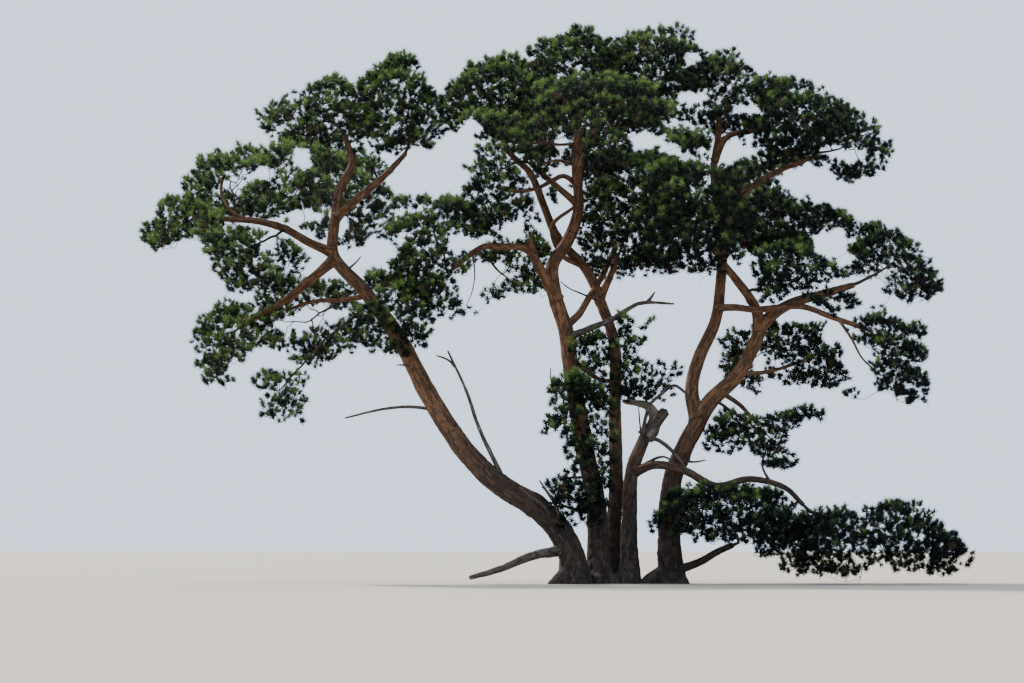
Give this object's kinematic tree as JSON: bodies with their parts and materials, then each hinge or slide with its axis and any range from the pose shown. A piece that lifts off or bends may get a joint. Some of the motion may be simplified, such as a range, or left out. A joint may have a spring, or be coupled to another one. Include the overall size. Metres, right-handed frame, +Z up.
{
  "type": "scots pine tree",
  "caption": "Clump of several leaning pine stems from one root, with long bare limbs, dead branches and a broad, cloud-like crown of needle masses.",
  "frame": {"origin": "the middle of the flat cut under the main stem, at ground level", "axes": "+Z up along the stems, +X along the crown's widest side, -Y towards the tree's front"},
  "size_m": [16.9853, 10.5255, 11.548],
  "materials": {
    "stem_bark": "thick plated bark, grey-brown low down and orange-brown higher",
    "bough_bark": "thin flaking orange-brown bark",
    "dead_wood": "weathered bare grey wood",
    "needles": "dense tufts of stiff green needles on thin twigs"
  },
  "bodies": {
    "root": {"bough_arching": "bough_bark", "bough_centre_right": "bough_bark", "bough_cross_level": "bough_bark", "bough_cross_upright": "bough_bark", "bough_left_far": "bough_bark", "bough_left_low": "bough_bark", "bough_left_rise": "bough_bark", "bough_main_front": "bough_bark", "bough_main_right": "bough_bark", "bough_main_shoulder": "bough_bark", "bough_right_foot": "bough_bark", "bough_right_inner": "bough_bark", "bough_right_long": "bough_bark", "bough_right_reach": "bough_bark", "bough_right_top": "bough_bark", "dead_limb_centre": "dead_wood", "dead_limb_ground": "dead_wood", "dead_limb_low": "dead_wood", "dead_limb_upright": "dead_wood", "limb_right_upright": "bough_bark", "mass_centre_back": "needles", "mass_centre_crest": "needles", "mass_centre_front": "needles", "mass_centre_heart": "needles", "mass_centre_left": "needles", "mass_centre_shoulder": "needles", "mass_centre_top": "needles", "mass_far_left": "needles", "mass_left_back": "needles", "mass_left_crest": "needles", "mass_left_hanging": "needles", "mass_left_heart": "needles", "mass_left_low": "needles", "mass_left_peak": "needles", "mass_left_shelf": "needles", "mass_left_shoulder": "needles", "mass_left_under": "needles", "mass_left_veil": "needles", "mass_low_centre": "needles", "mass_low_middle": "needles", "mass_low_right": "needles", "mass_main_veil": "needles", "mass_middle_cloud": "needles", "mass_middle_hanging": "needles", "mass_right_back": "needles", "mass_right_canopy": "needles", "mass_right_crest": "needles", "mass_right_far": "needles", "mass_right_inner": "needles", "mass_right_low": "needles", "mass_right_middle": "needles", "mass_right_peak": "needles", "mass_right_skirt": "needles", "mass_right_top": "needles", "mass_right_under": "needles", "stem_broken": "stem_bark", "stem_centre": "stem_bark", "stem_left": "stem_bark", "stem_main": "stem_bark", "stem_right": "stem_bark"}
  },
  "joints": []
}
